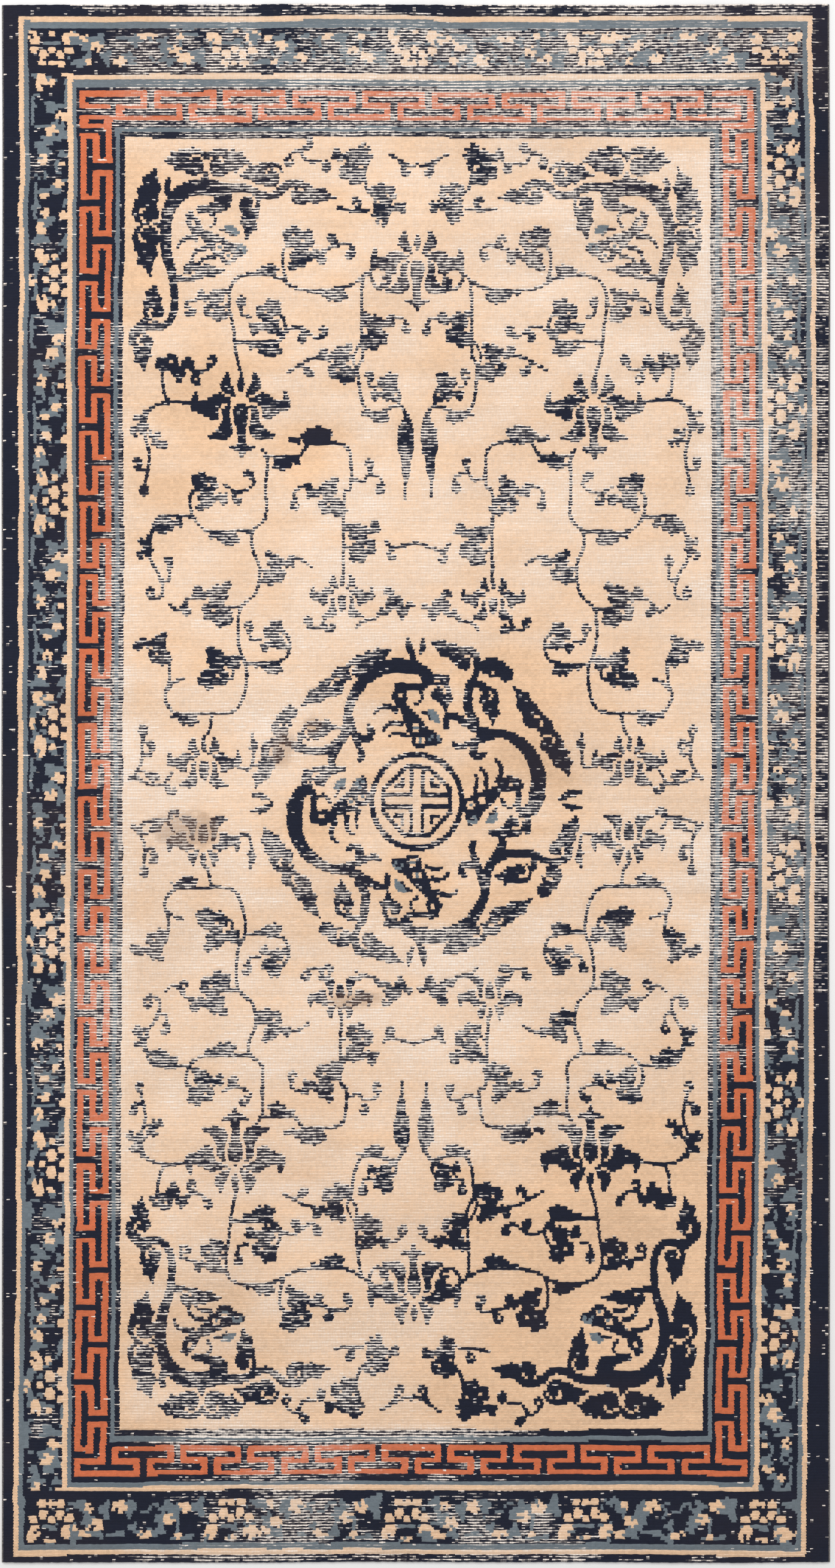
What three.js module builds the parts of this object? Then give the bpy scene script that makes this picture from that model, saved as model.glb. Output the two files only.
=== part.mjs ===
// A hand-knotted wool pile rug with a cotton ground, lying flat.
// Millimetres, +Z up, +Y along the rug's length, origin under the middle of the rug.

import * as THREE from 'three';

// Driving dimensions
const rugWidth = 1600;
const rugLength = 3012;
const groundThickness = 3; // the woven cotton ground, warps and wefts
const pileHeight = 4; // worn wool pile above the ground
const selvedgeWidth = 5; // flat woven edge on each long side, with no pile
const selvedgeThickness = 3.6;
const pileFootWidth = 1.5; // the pile's side rises from the selvedge over this width
const endRounding = 3; // the pile thins out over this length at each end
const edgeWander = 1.2; // how far the outline strays from a straight line

// The weave: faces across and along the sheet
const columnCount = 44;
const rowCount = 32;

// Low lengthwise ripples at the top end, where the ground has drawn in unevenly
const ripples = [
  { across: -420, halfWidth: 110, rise: 4.5, reach: 520 },
  { across: -225, halfWidth: 95, rise: 3.5, reach: 420 },
  { across: 20, halfWidth: 120, rise: 4, reach: 460 },
  { across: 560, halfWidth: 130, rise: 3, reach: 380 },
];

// Slow waves of the four edges: how many half waves along an edge, and their share of edgeWander
const edgeWaves = [
  { halfWaves: 3, share: 0.6, shift: 0.4 },
  { halfWaves: 7, share: 0.4, shift: 1.9 },
];

function smoothStep(t) {
  const s = THREE.MathUtils.clamp(t, 0, 1);
  return s * s * (3 - 2 * s);
}

// Places of the faces' edges from one side of a span to the other: a fine step or two at each end, even between
function stations(span, count, edgeSteps) {
  const half = span / 2;
  const inner = half - edgeSteps.reduce((sum, step) => sum + step, 0);
  const evenCount = count - 2 * edgeSteps.length;
  const places = [-half];
  for (const step of edgeSteps) {
    places.push(places[places.length - 1] + step);
  }
  for (let i = 1; i < evenCount; i += 1) {
    places.push(-inner + (2 * inner * i) / evenCount);
  }
  for (let i = edgeSteps.length; i >= 0; i -= 1) {
    places.push(-places[i]);
  }
  return places;
}

// How far an edge strays outwards at a place along it, from -1 to 1 of its length
function wander(along, phase) {
  let sum = 0;
  for (const wave of edgeWaves) {
    sum += wave.share * Math.sin(wave.halfWaves * Math.PI * 0.5 * (along + 1) + wave.shift + phase);
  }
  return edgeWander * sum;
}

// Height to which the sheet lifts off the floor
function lift(x, y) {
  let height = 0;
  for (const ripple of ripples) {
    const away = Math.abs(x - ripple.across) / ripple.halfWidth;
    const fromEnd = (rugLength / 2 - y) / ripple.reach;
    height += ripple.rise * smoothStep(1 - away) * smoothStep(1 - fromEnd);
  }
  return height;
}

// Thickness of the rug at a place, thin along the selvedges and rounded off at the ends
function thickness(x, y) {
  const fromSide = rugWidth / 2 - Math.abs(x);
  const fromEnd = rugLength / 2 - Math.abs(y);
  const full = groundThickness + pileHeight;
  const side = smoothStep((fromSide - selvedgeWidth) / pileFootWidth);
  const end = 0.7 + 0.3 * smoothStep(fromEnd / endRounding);
  return selvedgeThickness + (full * end - selvedgeThickness) * side;
}

function makeRug() {
  const across = stations(rugWidth, columnCount, [selvedgeWidth, pileFootWidth]);
  const along = stations(rugLength, rowCount, [endRounding]);
  const geometry = new THREE.BoxGeometry(columnCount, rowCount, 1, columnCount, rowCount, 1);
  const places = geometry.attributes.position;
  for (let i = 0; i < places.count; i += 1) {
    const column = Math.round(places.getX(i) + columnCount / 2);
    const row = Math.round(places.getY(i) + rowCount / 2);
    const x = across[column];
    const y = along[row];
    const u = (2 * x) / rugWidth;
    const v = (2 * y) / rugLength;
    const isTop = places.getZ(i) > 0;
    const outX = x + u * Math.abs(u) * wander(v, u > 0 ? 0 : 2.1);
    const outY = y + v * Math.abs(v) * wander(u, v > 0 ? 4.2 : 5.7);
    places.setXYZ(i, outX, outY, lift(x, y) + (isTop ? thickness(x, y) : 0));
  }
  geometry.computeBoundingBox();
  const middle = geometry.boundingBox.getCenter(new THREE.Vector3());
  geometry.translate(-middle.x, -middle.y, 0);
  geometry.computeVertexNormals();
  const wool = new THREE.MeshStandardMaterial({ color: 0xd9b68e, roughness: 0.95, metalness: 0 });
  const mesh = new THREE.Mesh(geometry, wool);
  mesh.name = 'rug';
  return mesh;
}

const model = new THREE.Group();
model.name = 'ningxia_rug';
model.add(makeRug());

export default model;
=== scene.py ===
import math

import bpy
import numpy as np
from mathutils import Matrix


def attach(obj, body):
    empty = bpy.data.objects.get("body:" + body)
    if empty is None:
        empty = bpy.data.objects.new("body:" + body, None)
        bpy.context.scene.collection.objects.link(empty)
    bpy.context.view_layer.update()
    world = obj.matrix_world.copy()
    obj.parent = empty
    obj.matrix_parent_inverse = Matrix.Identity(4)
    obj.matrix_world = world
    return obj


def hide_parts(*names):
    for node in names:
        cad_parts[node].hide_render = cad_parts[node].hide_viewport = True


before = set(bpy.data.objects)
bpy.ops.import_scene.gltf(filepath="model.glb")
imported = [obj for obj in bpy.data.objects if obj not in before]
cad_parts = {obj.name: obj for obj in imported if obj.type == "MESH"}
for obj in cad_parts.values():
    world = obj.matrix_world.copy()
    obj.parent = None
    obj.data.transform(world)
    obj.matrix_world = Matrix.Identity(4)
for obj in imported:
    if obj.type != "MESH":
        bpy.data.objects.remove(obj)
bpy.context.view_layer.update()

navy, beige, slate, salmon = range(4)  # the yarns, as numbers in the chart

# the chart has one cell for each knot; its x runs across and its y along the rug, in knots from the middle
rug = {
    "columns": 272,  # knots across
    "rows": 544,  # knot rows along
    "grain": (2, 3),  # steps along and across each knot while painting, so that slanting edges run smoothly
    "lean": [(0.2, -2.0), (7.0, -9.7)],  # how far the left and the right edge drift aside on their way down
    # how the pattern strays: amount, reach across and along, seed
    "strayAcross": [(0.35, 40, 14, 3), (0.1, 12, 5, 4)],
    "strayAlong": [(0.45, 45, 60, 5), (0.12, 9, 40, 6)],
    "favour": [0.4, 0, 0.2, 0.2],  # which yarn a knot takes where two have the same share of it
    "edgeReach": (0.42, 0.3),  # how far a knot's edge may stand aside and up, of a knot
}
halfColumns, halfRows = rug["columns"] / 2, rug["rows"] / 2


def smoothStep(t):
    t = np.clip(t, 0, 1)
    return t * t * (3 - 2 * t)


def valueNoise(across, along, cellAcross, cellAlong, seed):  # smooth, -1 to 1
    cells = 256  # before the noise repeats
    grid = np.random.default_rng(seed).uniform(-1, 1, (cells, cells))
    u, v = across / cellAcross + 97.3, along / cellAlong + 53.7
    column, row = np.floor(u).astype(int), np.floor(v).astype(int)
    fu, fv = smoothStep(u - column), smoothStep(v - row)

    def at(right, up):
        return grid[(row + up) % cells, (column + right) % cells]

    return (at(0, 0) * (1 - fu) + at(1, 0) * fu) * (1 - fv) + (at(0, 1) * (1 - fu) + at(1, 1) * fu) * fv


def strayed(base, across, along, strays):
    for amount, cellAcross, cellAlong, seed in strays:
        base = base + amount * valueNoise(across, along, cellAcross, cellAlong, seed)
    return base


def newChart():
    stepsAlong, stepsAcross = rug["grain"]
    column = (np.arange(rug["columns"] * stepsAcross) + 0.5) / stepsAcross - halfColumns
    row = (np.arange(rug["rows"] * stepsAlong) + 0.5) / stepsAlong - halfRows
    across, along = np.meshgrid(column, row)
    down = 0.5 - along / rug["rows"]  # 0 at the top end, 1 at the bottom end
    right = 0.5 + across / rug["columns"]
    leftLean, rightLean = [a * down + b * down**2 for a, b in rug["lean"]]
    x = strayed(across - (leftLean * (1 - right) + rightLean * right), across, along, rug["strayAcross"])
    y = strayed(along, across, along, rug["strayAlong"])
    return {"x": x, "y": y, "yarn": np.full(x.shape, beige, np.int8)}


# where the edge between two neighbouring knots lies, in knots from the middle line between them
def edgePlace(first, second, firstYarn, secondYarn, steps):
    pair = np.concatenate([first, second], 2)
    per = pair.shape[2] // (2 * steps)  # samples beside one another at each step
    wrongFirst, wrongSecond = pair != firstYarn[:, :, None], pair != secondYarn[:, :, None]
    costs = np.stack([wrongFirst[:, :, :p * per].sum(2) + wrongSecond[:, :, p * per:].sum(2)
                      + 0.01 * abs(p - steps) for p in range(2 * steps + 1)], -1)
    return np.where(firstYarn == secondYarn, 0, (costs.argmin(2) - steps) / steps)


# one yarn for every knot, and how far the edges between the knots stand aside and up, in knots
def tieKnots(chart):
    stepsAlong, stepsAcross = rug["grain"]
    rows, columns = rug["rows"], rug["columns"]
    blocks = chart["yarn"].reshape(rows, stepsAlong, columns, stepsAcross).transpose(0, 2, 1, 3)
    byRow = blocks.reshape(rows, columns, -1)  # ordered along first
    byColumn = blocks.transpose(0, 1, 3, 2).reshape(rows, columns, -1)  # ordered across first
    knots = (np.stack([(byRow == k).sum(2) for k in range(4)], -1) + rug["favour"]).argmax(2)
    aside, upward = np.zeros((rows, columns + 1)), np.zeros((rows + 1, columns))
    aside[:, 1:-1] = edgePlace(byColumn[:, :-1], byColumn[:, 1:], knots[:, :-1], knots[:, 1:], stepsAcross)
    upward[1:-1] = edgePlace(byRow[:-1], byRow[1:], knots[:-1], knots[1:], stepsAlong)
    mostAside, mostUp = rug["edgeReach"]
    return knots, np.clip(aside, -mostAside, mostAside), betweenKnots(np.clip(upward, -mostUp, mostUp))


def betweenKnots(values):  # from the middles of the knots to the lines between the columns
    padded = np.pad(values, ((0, 0), (1, 1)), mode="edge")
    return 0.5 * (padded[:, 1:] + padded[:, :-1])


def smoothLine(points, steps=5):  # a curve through the points
    p = np.array(points, float)
    if len(p) < 3:
        return p
    q = np.vstack([2 * p[0] - p[1], p, 2 * p[-1] - p[-2]])
    line = []
    for a, b, c, d in zip(q, q[1:], q[2:], q[3:]):
        for t in np.arange(steps) / steps:
            line.append(0.5 * (2 * b + (c - a) * t + (2 * a - 5 * b + 4 * c - d) * t * t
                               + (3 * b - a - 3 * c + d) * t**3))
    return np.array([*line, p[-1]])


def window(points, margin):  # the part of the chart round the points
    parts = []
    for axis, count, steps in ((1, rug["rows"], rug["grain"][0]), (0, rug["columns"], rug["grain"][1])):
        low, high = points[:, axis].min() - margin - 4, points[:, axis].max() + margin + 4
        start = int(max(0, low + count / 2)) * steps
        parts.append(slice(start, max(start, int(min(count, high + count / 2 + 1)) * steps)))
    return tuple(parts)


def fillShape(chart, outline, yarn):
    points = np.array(outline, float)
    part = window(points, 0)
    x, y = chart["x"][part], chart["y"][part]
    inside = np.zeros(x.shape, bool)
    for a, b in zip(points, np.roll(points, -1, 0)):
        if a[1] != b[1]:
            crossing = (a[1] > y) != (b[1] > y)
            inside ^= crossing & (x < (b[0] - a[0]) * (y - a[1]) / (b[1] - a[1]) + a[0])
    chart["yarn"][part][inside] = yarn


def ribbon(chart, route, yarn):  # a band whose width is given at every point: (x, y, width)
    points = np.array(route, float)
    part = window(points[:, :2], points[:, 2].max())
    x, y = chart["x"][part], chart["y"][part]
    inside = np.zeros(x.shape, bool)
    for a, b in zip(points[:-1], points[1:]):
        length = math.hypot(b[0] - a[0], b[1] - a[1])
        if length < 1e-6:
            continue
        d = (b[:2] - a[:2]) / length
        t = np.clip((x - a[0]) * d[0] + (y - a[1]) * d[1], 0, length)
        away = np.hypot(x - a[0] - t * d[0], y - a[1] - t * d[1])
        inside |= away <= 0.5 * (a[2] + (b[2] - a[2]) * t / length)
    chart["yarn"][part][inside] = yarn


def drawLine(chart, route, width, yarn):
    points = np.array(route, float)
    ribbon(chart, np.column_stack([points, np.full(len(points), width)]), yarn)


def box(chart, x0, x1, y0, y1, yarn):
    inside = (chart["x"] >= min(x0, x1)) & (chart["x"] < max(x0, x1))
    inside &= (chart["y"] >= min(y0, y1)) & (chart["y"] < max(y0, y1))
    chart["yarn"][inside] = yarn


# plain bands, outside in: knots from the side edge, from the top end and from the bottom end, and the yarn
bands = [
    (-9, -9, -9, navy),  # from outside the rug
    (5.1, 3.8, 2.3, beige),
    (6.7, 5.7, 4.5, slate),
    (8.3, 8.4, 6.6, navy),  # under the flower border
    (21, 24, 24.9, beige),
    (22.7, 26.2, 26.8, slate),
    (24, 28.7, 28.3, navy),  # under the key fret
    (36.6, 42.4, 42, slate),
    (38, 44.4, 44, navy),
    (39.6, 46.2, 46, beige),  # the field
]


def withinBand(chart, k):
    side, top, bottom, _ = bands[k]
    inWidth = np.abs(chart["x"]) < halfColumns - side
    return inWidth & (chart["y"] > bottom - halfRows) & (chart["y"] < halfRows - top)


def plainBands(chart, first, last):
    for k in range(first, last + 1):
        inside = withinBand(chart, k)
        if k + 1 < len(bands):
            inside &= ~withinBand(chart, k + 1)
        chart["yarn"][inside] = bands[k][3]


fret = {
    "side": 111,  # outer edge of the key fret, knots from the middle line
    "top": 242,
    "bottom": -241.8,
    "lane": 2.1,  # width of one lane; the fret is five lanes wide
    "sideFirst": 14.2, "sidePeriod": 25.69, "sidePeriods": 18,  # bars from the top end
    "rightLead": 0.6,  # how much sooner the bars of the right side begin
    "topFirst": 23.6, "topPeriod": 22.9, "bottomFirst": 23.0, "bottomPeriod": 22.03, "endPeriods": 8,
    # lines round the corners, in lanes from the corner: (across, along)
    "topLeft": [
        [(4.3, 2.5), (0.5, 2.5), (0.5, 0.5), (10.1, 0.5), (10.1, 2.5), (6.2, 2.5), (6.2, 4.4)],
        [(11.5, 4.5), (0.5, 4.5), (0.5, 6), (4.5, 6)], [(4.5, 4.5), (4.5, 7.5)],
    ],
    "topRight": [
        [(6.0, 0.5), (0.5, 0.5), (0.5, 5.8), (4.5, 5.8), (4.5, 7)],
        [(6.0, 2.5), (2.4, 2.5), (2.4, 4.5), (8, 4.5)],
    ],
    "bottomLeft": [
        [(4.5, 4.6), (4.5, 2.5), (0.5, 2.5), (0.5, 0.5), (9.8, 0.5), (9.8, 2.5), (6.4, 2.5), (6.4, 4.5),
         (12, 4.5)],
    ],
    "bottomRight": [
        [(4.5, 4.8), (4.5, 2.5), (0.5, 2.5), (0.5, 0.5), (9.7, 0.5), (9.7, 2.5), (6.3, 2.5), (6.3, 4.5),
         (12, 4.5)],
    ],
}


# one straight run: depth in lanes from the outer edge, travel in knots along it
def fretRun(chart, region, depth, travel, first, period, periods):
    along = travel - first
    toOuter = np.abs(along - period * np.clip(np.round(along / period), 0, periods))
    middle = along - period / 2
    toInner = np.abs(middle - period * np.clip(np.round(middle / period), 0, periods - 1))
    lane = np.clip(np.floor(depth), 0, 4)
    gap = fret["lane"] * 0.5
    cap = gap + fret["lane"]
    on = np.select(
        [lane == 0, lane == 1, lane == 2, lane == 3],
        [toOuter > gap, (toOuter > gap) & (toOuter < cap), (toOuter > gap) & (toInner > gap),
         (toInner > gap) & (toInner < cap)],
        toInner > gap,
    )
    region = region & (depth >= 0) & (depth < 5) & (along > -gap) & (along < period * periods + gap)
    chart["yarn"][region & on] = salmon


def fretCorner(chart, left, top, lines):
    lane = fret["lane"]
    signX, x0 = (1, -fret["side"]) if left else (-1, fret["side"])
    signY, y0 = (-1, fret["top"]) if top else (1, fret["bottom"])
    for line in lines:
        for (u0, v0), (u1, v1) in zip(line[:-1], line[1:]):
            box(chart, x0 + signX * lane * (min(u0, u1) - 0.5), x0 + signX * lane * (max(u0, u1) + 0.5),
                y0 + signY * lane * (min(v0, v1) - 0.5), y0 + signY * lane * (max(v0, v1) + 0.5), salmon)


def keyFret(chart):
    x, y = chart["x"], chart["y"]
    lane = fret["lane"]
    fromSide = (fret["side"] - np.abs(x)) / lane
    fromTop, fromBottom = (fret["top"] - y) / lane, (y - fret["bottom"]) / lane
    atSides = (fromTop * lane > fret["sideFirst"] - lane / 2) & (fromBottom > 3)
    for right in (False, True):
        fretRun(chart, atSides & ((x > 0) == right), fromSide, fromTop * lane,
                fret["sideFirst"] - fret["rightLead"] * right, fret["sidePeriod"], fret["sidePeriods"])
    for end, half, depth in (("top", y > 0, fromTop), ("bottom", y < 0, fromBottom)):
        fretRun(chart, (np.abs(x) < fret["side"]) & half, depth, x + fret["side"], fret[end + "First"],
                fret[end + "Period"], fret["endPeriods"])
        for side in ("Left", "Right"):
            fretCorner(chart, side == "Left", end == "top", fret[end + side])


leafLobes = {
    # joint at the origin, the leaf runs along +x, first lobes on the +y side: place and radius of each lobe
    "flag": [(1, 1.5, 1.5), (0.5, 3.5, 1.5), (2.5, 4.5, 1.5), (4, 3, 1.5), (2.5, 1, 2), (6, 3, 1.5),
             (6.5, 1, 1.5), (4.5, -1, 2), (3, -3, 2), (4.5, -5, 1.5), (2, -6, 1.5), (6, -3.5, 1.5),
             (8, -2.5, 1.5), (9.5, -4, 1.5), (10, -2, 1)],
    "cap": [(1, 1, 1.5), (0, 3, 1.5), (2, 4, 1.5), (3, 1.5, 2), (4.5, 3.5, 1.5), (5.5, 1.5, 1.5),
            (6.5, 2.5, 1), (8, 1, 1), (9.5, 1.5, 1)],
    "solid": [(0.5, 1, 1.5), (0, 2.5, 1.5), (2.5, 2, 1.5), (3.5, 4, 1.5), (5.5, 3, 1.5), (6, 5.5, 1.5),
              (8, 4.5, 1.5), (9.5, 4.5, 1), (8, 2, 1.5), (5, 1, 2), (7.5, 0.5, 1)],
    "side": [(1, 1, 1), (3, 1, 1.5), (3.5, 3.5, 1.5), (5, 1, 1.5), (7, 2, 1.5), (8.5, 3.5, 1.5), (10, 2.5, 1),
             (8.5, 0.5, 1), (6, -0.5, 1)],
}


def placed(points, at, turn, size, flip):  # local points turned by degrees and set down at a place
    p = np.array(points, float) * size * np.array([1, flip])
    c, s = math.cos(math.radians(turn)), math.sin(math.radians(turn))
    return np.column_stack([p[:, 0] * c - p[:, 1] * s, p[:, 0] * s + p[:, 1] * c]) + np.array(at, float)


quarterField = {
    "middleRow": -6.4,  # row of the medallion's middle, from the middle of the rug
    "near": [0, 70, 122, 173, 219.6],  # places from the medallion's middle in the lower half
    "far": [0, 73, 135, 190, 232.2],  # where the weaver set the same places in the upper half
    "wander": 0.8,  # how far the motifs stray in each quarter, in knots
    "wanderCell": 23,
    "seed": 20,
}


def inQuarter(points, quarter):  # from knots right of and below the medallion's middle to the rug
    p = np.array(points, float)
    side, up = quarter
    down = -p[:, 1]
    seed = quarterField["seed"] + side + 3 * up
    wander, cell = quarterField["wander"], quarterField["wanderCell"]
    strayX = wander * valueNoise(p[:, 0], down, cell, cell, seed)
    strayY = wander * valueNoise(p[:, 0], down, cell, cell, seed + 50)
    if up > 0:
        down = np.interp(down, quarterField["near"], quarterField["far"])
    return np.column_stack([(p[:, 0] + strayX) * side, quarterField["middleRow"] + (down + strayY) * up])


def vine(chart, quarter, route, width=1.05, knob=False):
    line = inQuarter(smoothLine([(x, -y) for x, y in route], steps=6), quarter)
    drawLine(chart, line, width, navy)
    if knob:  # the end rolls up round a pale dot
        end, before = line[-1], line[max(-4, -len(line))]
        ahead = (end - before) / math.hypot(*(end - before))
        aside = quarter[0] * quarter[1] * np.array([ahead[1], -ahead[0]])
        drawLine(chart, [end - 0.4 * ahead, end + 0.5 * ahead], 3.2, navy)
        drawLine(chart, [end, end - 0.6 * ahead + 1.3 * aside], 0.7, beige)


def leaf(chart, quarter, kind, at, turn=0, flip=1, size=1.0):
    lobes = np.array(leafLobes[kind])
    anchor = inQuarter([(at[0], -at[1])], quarter)[0]
    places = placed(lobes[:, :2], (0, 0), turn, size, flip) * np.array([quarter[0], -quarter[1]]) + anchor
    for place, radius in zip(places, lobes[:, 2]):
        drawLine(chart, [place, place + (0.01, 0)], 1.75 * radius * size, navy)


# bands with their widths, each drawn on both sides: (out from the stem line, towards the medallion, width)
def petals(chart, quarter, at, size, parts, yarn=navy):
    anchor = inQuarter([(at[0], -at[1])], quarter)[0]
    for part in parts:
        route = smoothLine(part)
        for flip in (1, -1):
            p = route[:, :2] * size * np.array([flip * quarter[0], -quarter[1]]) + anchor
            ribbon(chart, np.column_stack([p, route[:, 2] * (size if yarn == navy else 1)]), yarn)


lotusParts = [
    [(0, -3.5, 0.8), (0, -6, 2.4), (0, -9, 0.8)],  # bud on the stem, sepals
    [(1.5, -1.5, 1), (3.5, -4, 3), (5, -6, 3.6), (4.5, -8.5, 2), (4.5, -10.5, 0.8)],
    [(2.5, -0.5, 1), (5.5, -1.5, 3), (8, -1.5, 3), (10, -1, 1.6)],  # wing
    [(4, 0.5, 1.4), (7, 1.5, 4), (10, 2, 6), (12.5, 1.5, 4.4), (15, 1.5, 3), (15, -1.5, 2), (14.5, -4, 0.8)],
    [(8, 4.5, 2.6), (9.5, 5, 2.4)],
    [(3.5, 1, 2.4), (4.5, 4, 3.4), (4.5, 7.5, 4), (5.5, 10.5, 5), (8, 11.5, 2.6), (10.5, 12, 1.2)],  # hanging
    [(0, 0.5, 2.6), (0, 2.5, 5.6), (0, 5.5, 5.6), (0, 8, 3)],  # heart
    [(0, 8, 3), (0, 12, 2.6), (0, 15.5, 3), (0, 17, 2.4), (0, 19.5, 0.8)],  # crown
    [(0.5, 16, 2.2), (2.5, 16, 1.8), (4, 15.5, 0.8)],
]
lotusLines = [
    [(0.5, -1, 0.8), (1.5, -3.5, 0.9), (2, -7, 0.9)],
    [(1, -1, 0.9), (3.5, -2, 0.9), (6, -3.5, 0.9)],
    [(1, -0.5, 0.9), (4.5, 0.5, 1), (6.5, 2.5, 1.1), (6.5, 6, 1.1)],
    [(0.5, 0, 0.9), (2.5, 1, 1), (3, 4, 1.1), (2.5, 7.5, 1.1), (2, 10, 1), (2, 14, 1)],
]


# a lotus seen from the side, opening towards the medallion; its heart is at the place given
def lotus(chart, quarter, at, size=1.0, parts=len(lotusParts)):
    petals(chart, quarter, at, size, lotusParts[:parts])
    petals(chart, quarter, at, size, lotusLines, beige)


# routes in knots (right, down) of the medallion's middle, and whether they end in a round knob
vines = [
    # from the side of the medallion down to the big lotus
    ([(84, 51), (82, 48), (82, 40), (83, 37), (83, 34), (80, 30), (74, 30), (62, 30), (58, 33), (56, 40),
      (56, 46), (58, 52), (58, 64), (53, 70), (52, 78), (54, 83), (54, 88), (50, 92), (50, 100), (50, 109),
      (52, 112)], False),
    ([(83, 37), (80, 40), (77, 41)], False),
    ([(66, 41), (61, 41), (60, 44), (60, 47)], True),
    ([(69, 18), (70, 21), (68, 24), (67, 30)], False),
    ([(59, 12), (54, 12), (54, 23)], False),
    ([(80, 10), (82, 6), (80, 4)], True),
    ([(82, 6), (87, 6), (92, 9), (90, 14), (90, 24)], True),
    ([(90, 16), (87, 16), (87, 19)], True),
    ([(90, 54), (92, 52)], True),
    # the inner loop
    ([(56, 46), (50, 46), (44, 47), (42, 50), (42, 54), (44, 57)], False),
    ([(51, 54), (54, 54), (55, 58)], True),
    # right of the stem
    ([(58, 65), (62, 65)], False),
    ([(70, 69), (75, 68), (79, 64), (82, 66)], False),
    ([(77, 66), (76, 64)], True),
    ([(52, 77), (49, 77)], False),
    ([(42, 81), (38, 80), (35, 78)], False),
    ([(54, 88), (60, 88), (69, 88), (74, 92), (75, 98), (73, 100)], False),
    ([(64, 101), (60, 99), (56, 100), (54, 102), (56, 104)], True),
    ([(62, 100), (60, 97)], True),
    ([(74, 92), (85, 92), (88, 86), (88, 80), (85, 75), (84, 70), (86, 68), (88, 68), (88, 70)], True),
    ([(85, 74), (82, 74), (82, 79)], True),
    # the small lotus on its long stem, and the loop below it
    ([(24, 74), (24, 98), (22, 101), (22, 107), (23, 112), (27, 114), (36, 114), (40, 110),
      (51, 110)], False),
    ([(35, 102), (40, 100), (40, 96)], True),
    ([(22, 104), (18, 103), (16, 105), (12, 104), (12, 101)], True),
    ([(16, 106), (16, 108)], True),
    ([(24, 84), (21, 82)], False),
    ([(10, 85), (8, 83), (0, 85)], False),
    ([(9, 84), (8, 81)], True),
    ([(30, 62), (32, 58), (35, 58), (36, 60)], True),
    ([(32, 58), (29, 58)], True),
    ([(20, 58), (18, 60), (14, 61), (10, 64), (5, 66)], False),
    ([(6, 67), (9, 70)], True),
    # the pair of tall sprays beside the middle line, and what grows below them
    ([(4, 98), (4, 112)], False),
    ([(3, 118), (4, 122), (6, 125), (13, 123), (17, 124), (19, 129), (20, 138)], False),
    ([(20, 138), (18, 141), (18, 146)], False),
    ([(18, 146), (18, 163), (17, 167)], False),
    ([(6, 125), (6, 129), (8, 132)], False),
    ([(14, 131), (16, 132), (16, 135)], True),
    ([(32, 141), (36, 140), (43, 136)], False),
    ([(38, 138), (36, 136)], True),
    ([(18, 148), (16, 148)], False),
    ([(8, 154), (4, 153), (3, 150)], True),
    # from the big lotus down, round the loop, and in to the middle lotus
    ([(58, 134), (60, 142), (61, 150), (62, 160), (60, 166), (54, 168), (46, 167), (38, 163), (24, 163),
      (18, 166), (13, 170)], False),
    ([(15, 170), (15, 166), (13, 163), (11, 163), (10, 165)], True),
    ([(60, 146), (47, 146), (44, 148), (44, 152), (46, 156)], False),
    ([(55, 154), (58, 155), (58, 159)], True),
    ([(44, 148), (42, 150), (38, 150), (34, 147), (32, 147), (31, 149)], True),
    ([(37, 149), (38, 147)], True),
    ([(62, 159), (64, 157)], False),
    ([(72, 160), (76, 159), (76, 156), (75, 156)], True),
    ([(43, 166), (44, 170), (44, 176), (42, 178)], False),
    ([(31, 176), (24, 178), (21, 176), (22, 174)], True),
    ([(26, 177), (28, 180)], True),
    ([(16, 191), (22, 191), (26, 192)], False),
    ([(19, 191), (20, 194)], True),
    ([(14, 196), (17, 200), (18, 207)], False),
    ([(32, 210), (36, 210), (39, 214), (42, 212), (42, 210)], True),
    ([(30, 210), (30, 208)], True),
    ([(38, 214), (36, 216)], True),
    ([(10, 213), (2, 208), (0, 209)], False),
    ([(6, 210), (4, 206)], True),
    # right of the big lotus
    ([(74, 126), (80, 127), (86, 126), (89, 122), (89, 116), (88, 110), (90, 100)], True),
    ([(89, 106), (92, 106), (92, 108)], True),
    ([(81, 127), (83, 130), (84, 137)], False),
    ([(77, 140), (74, 137), (70, 137), (68, 140)], True),
    ([(74, 138), (73, 134)], True),
]
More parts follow.
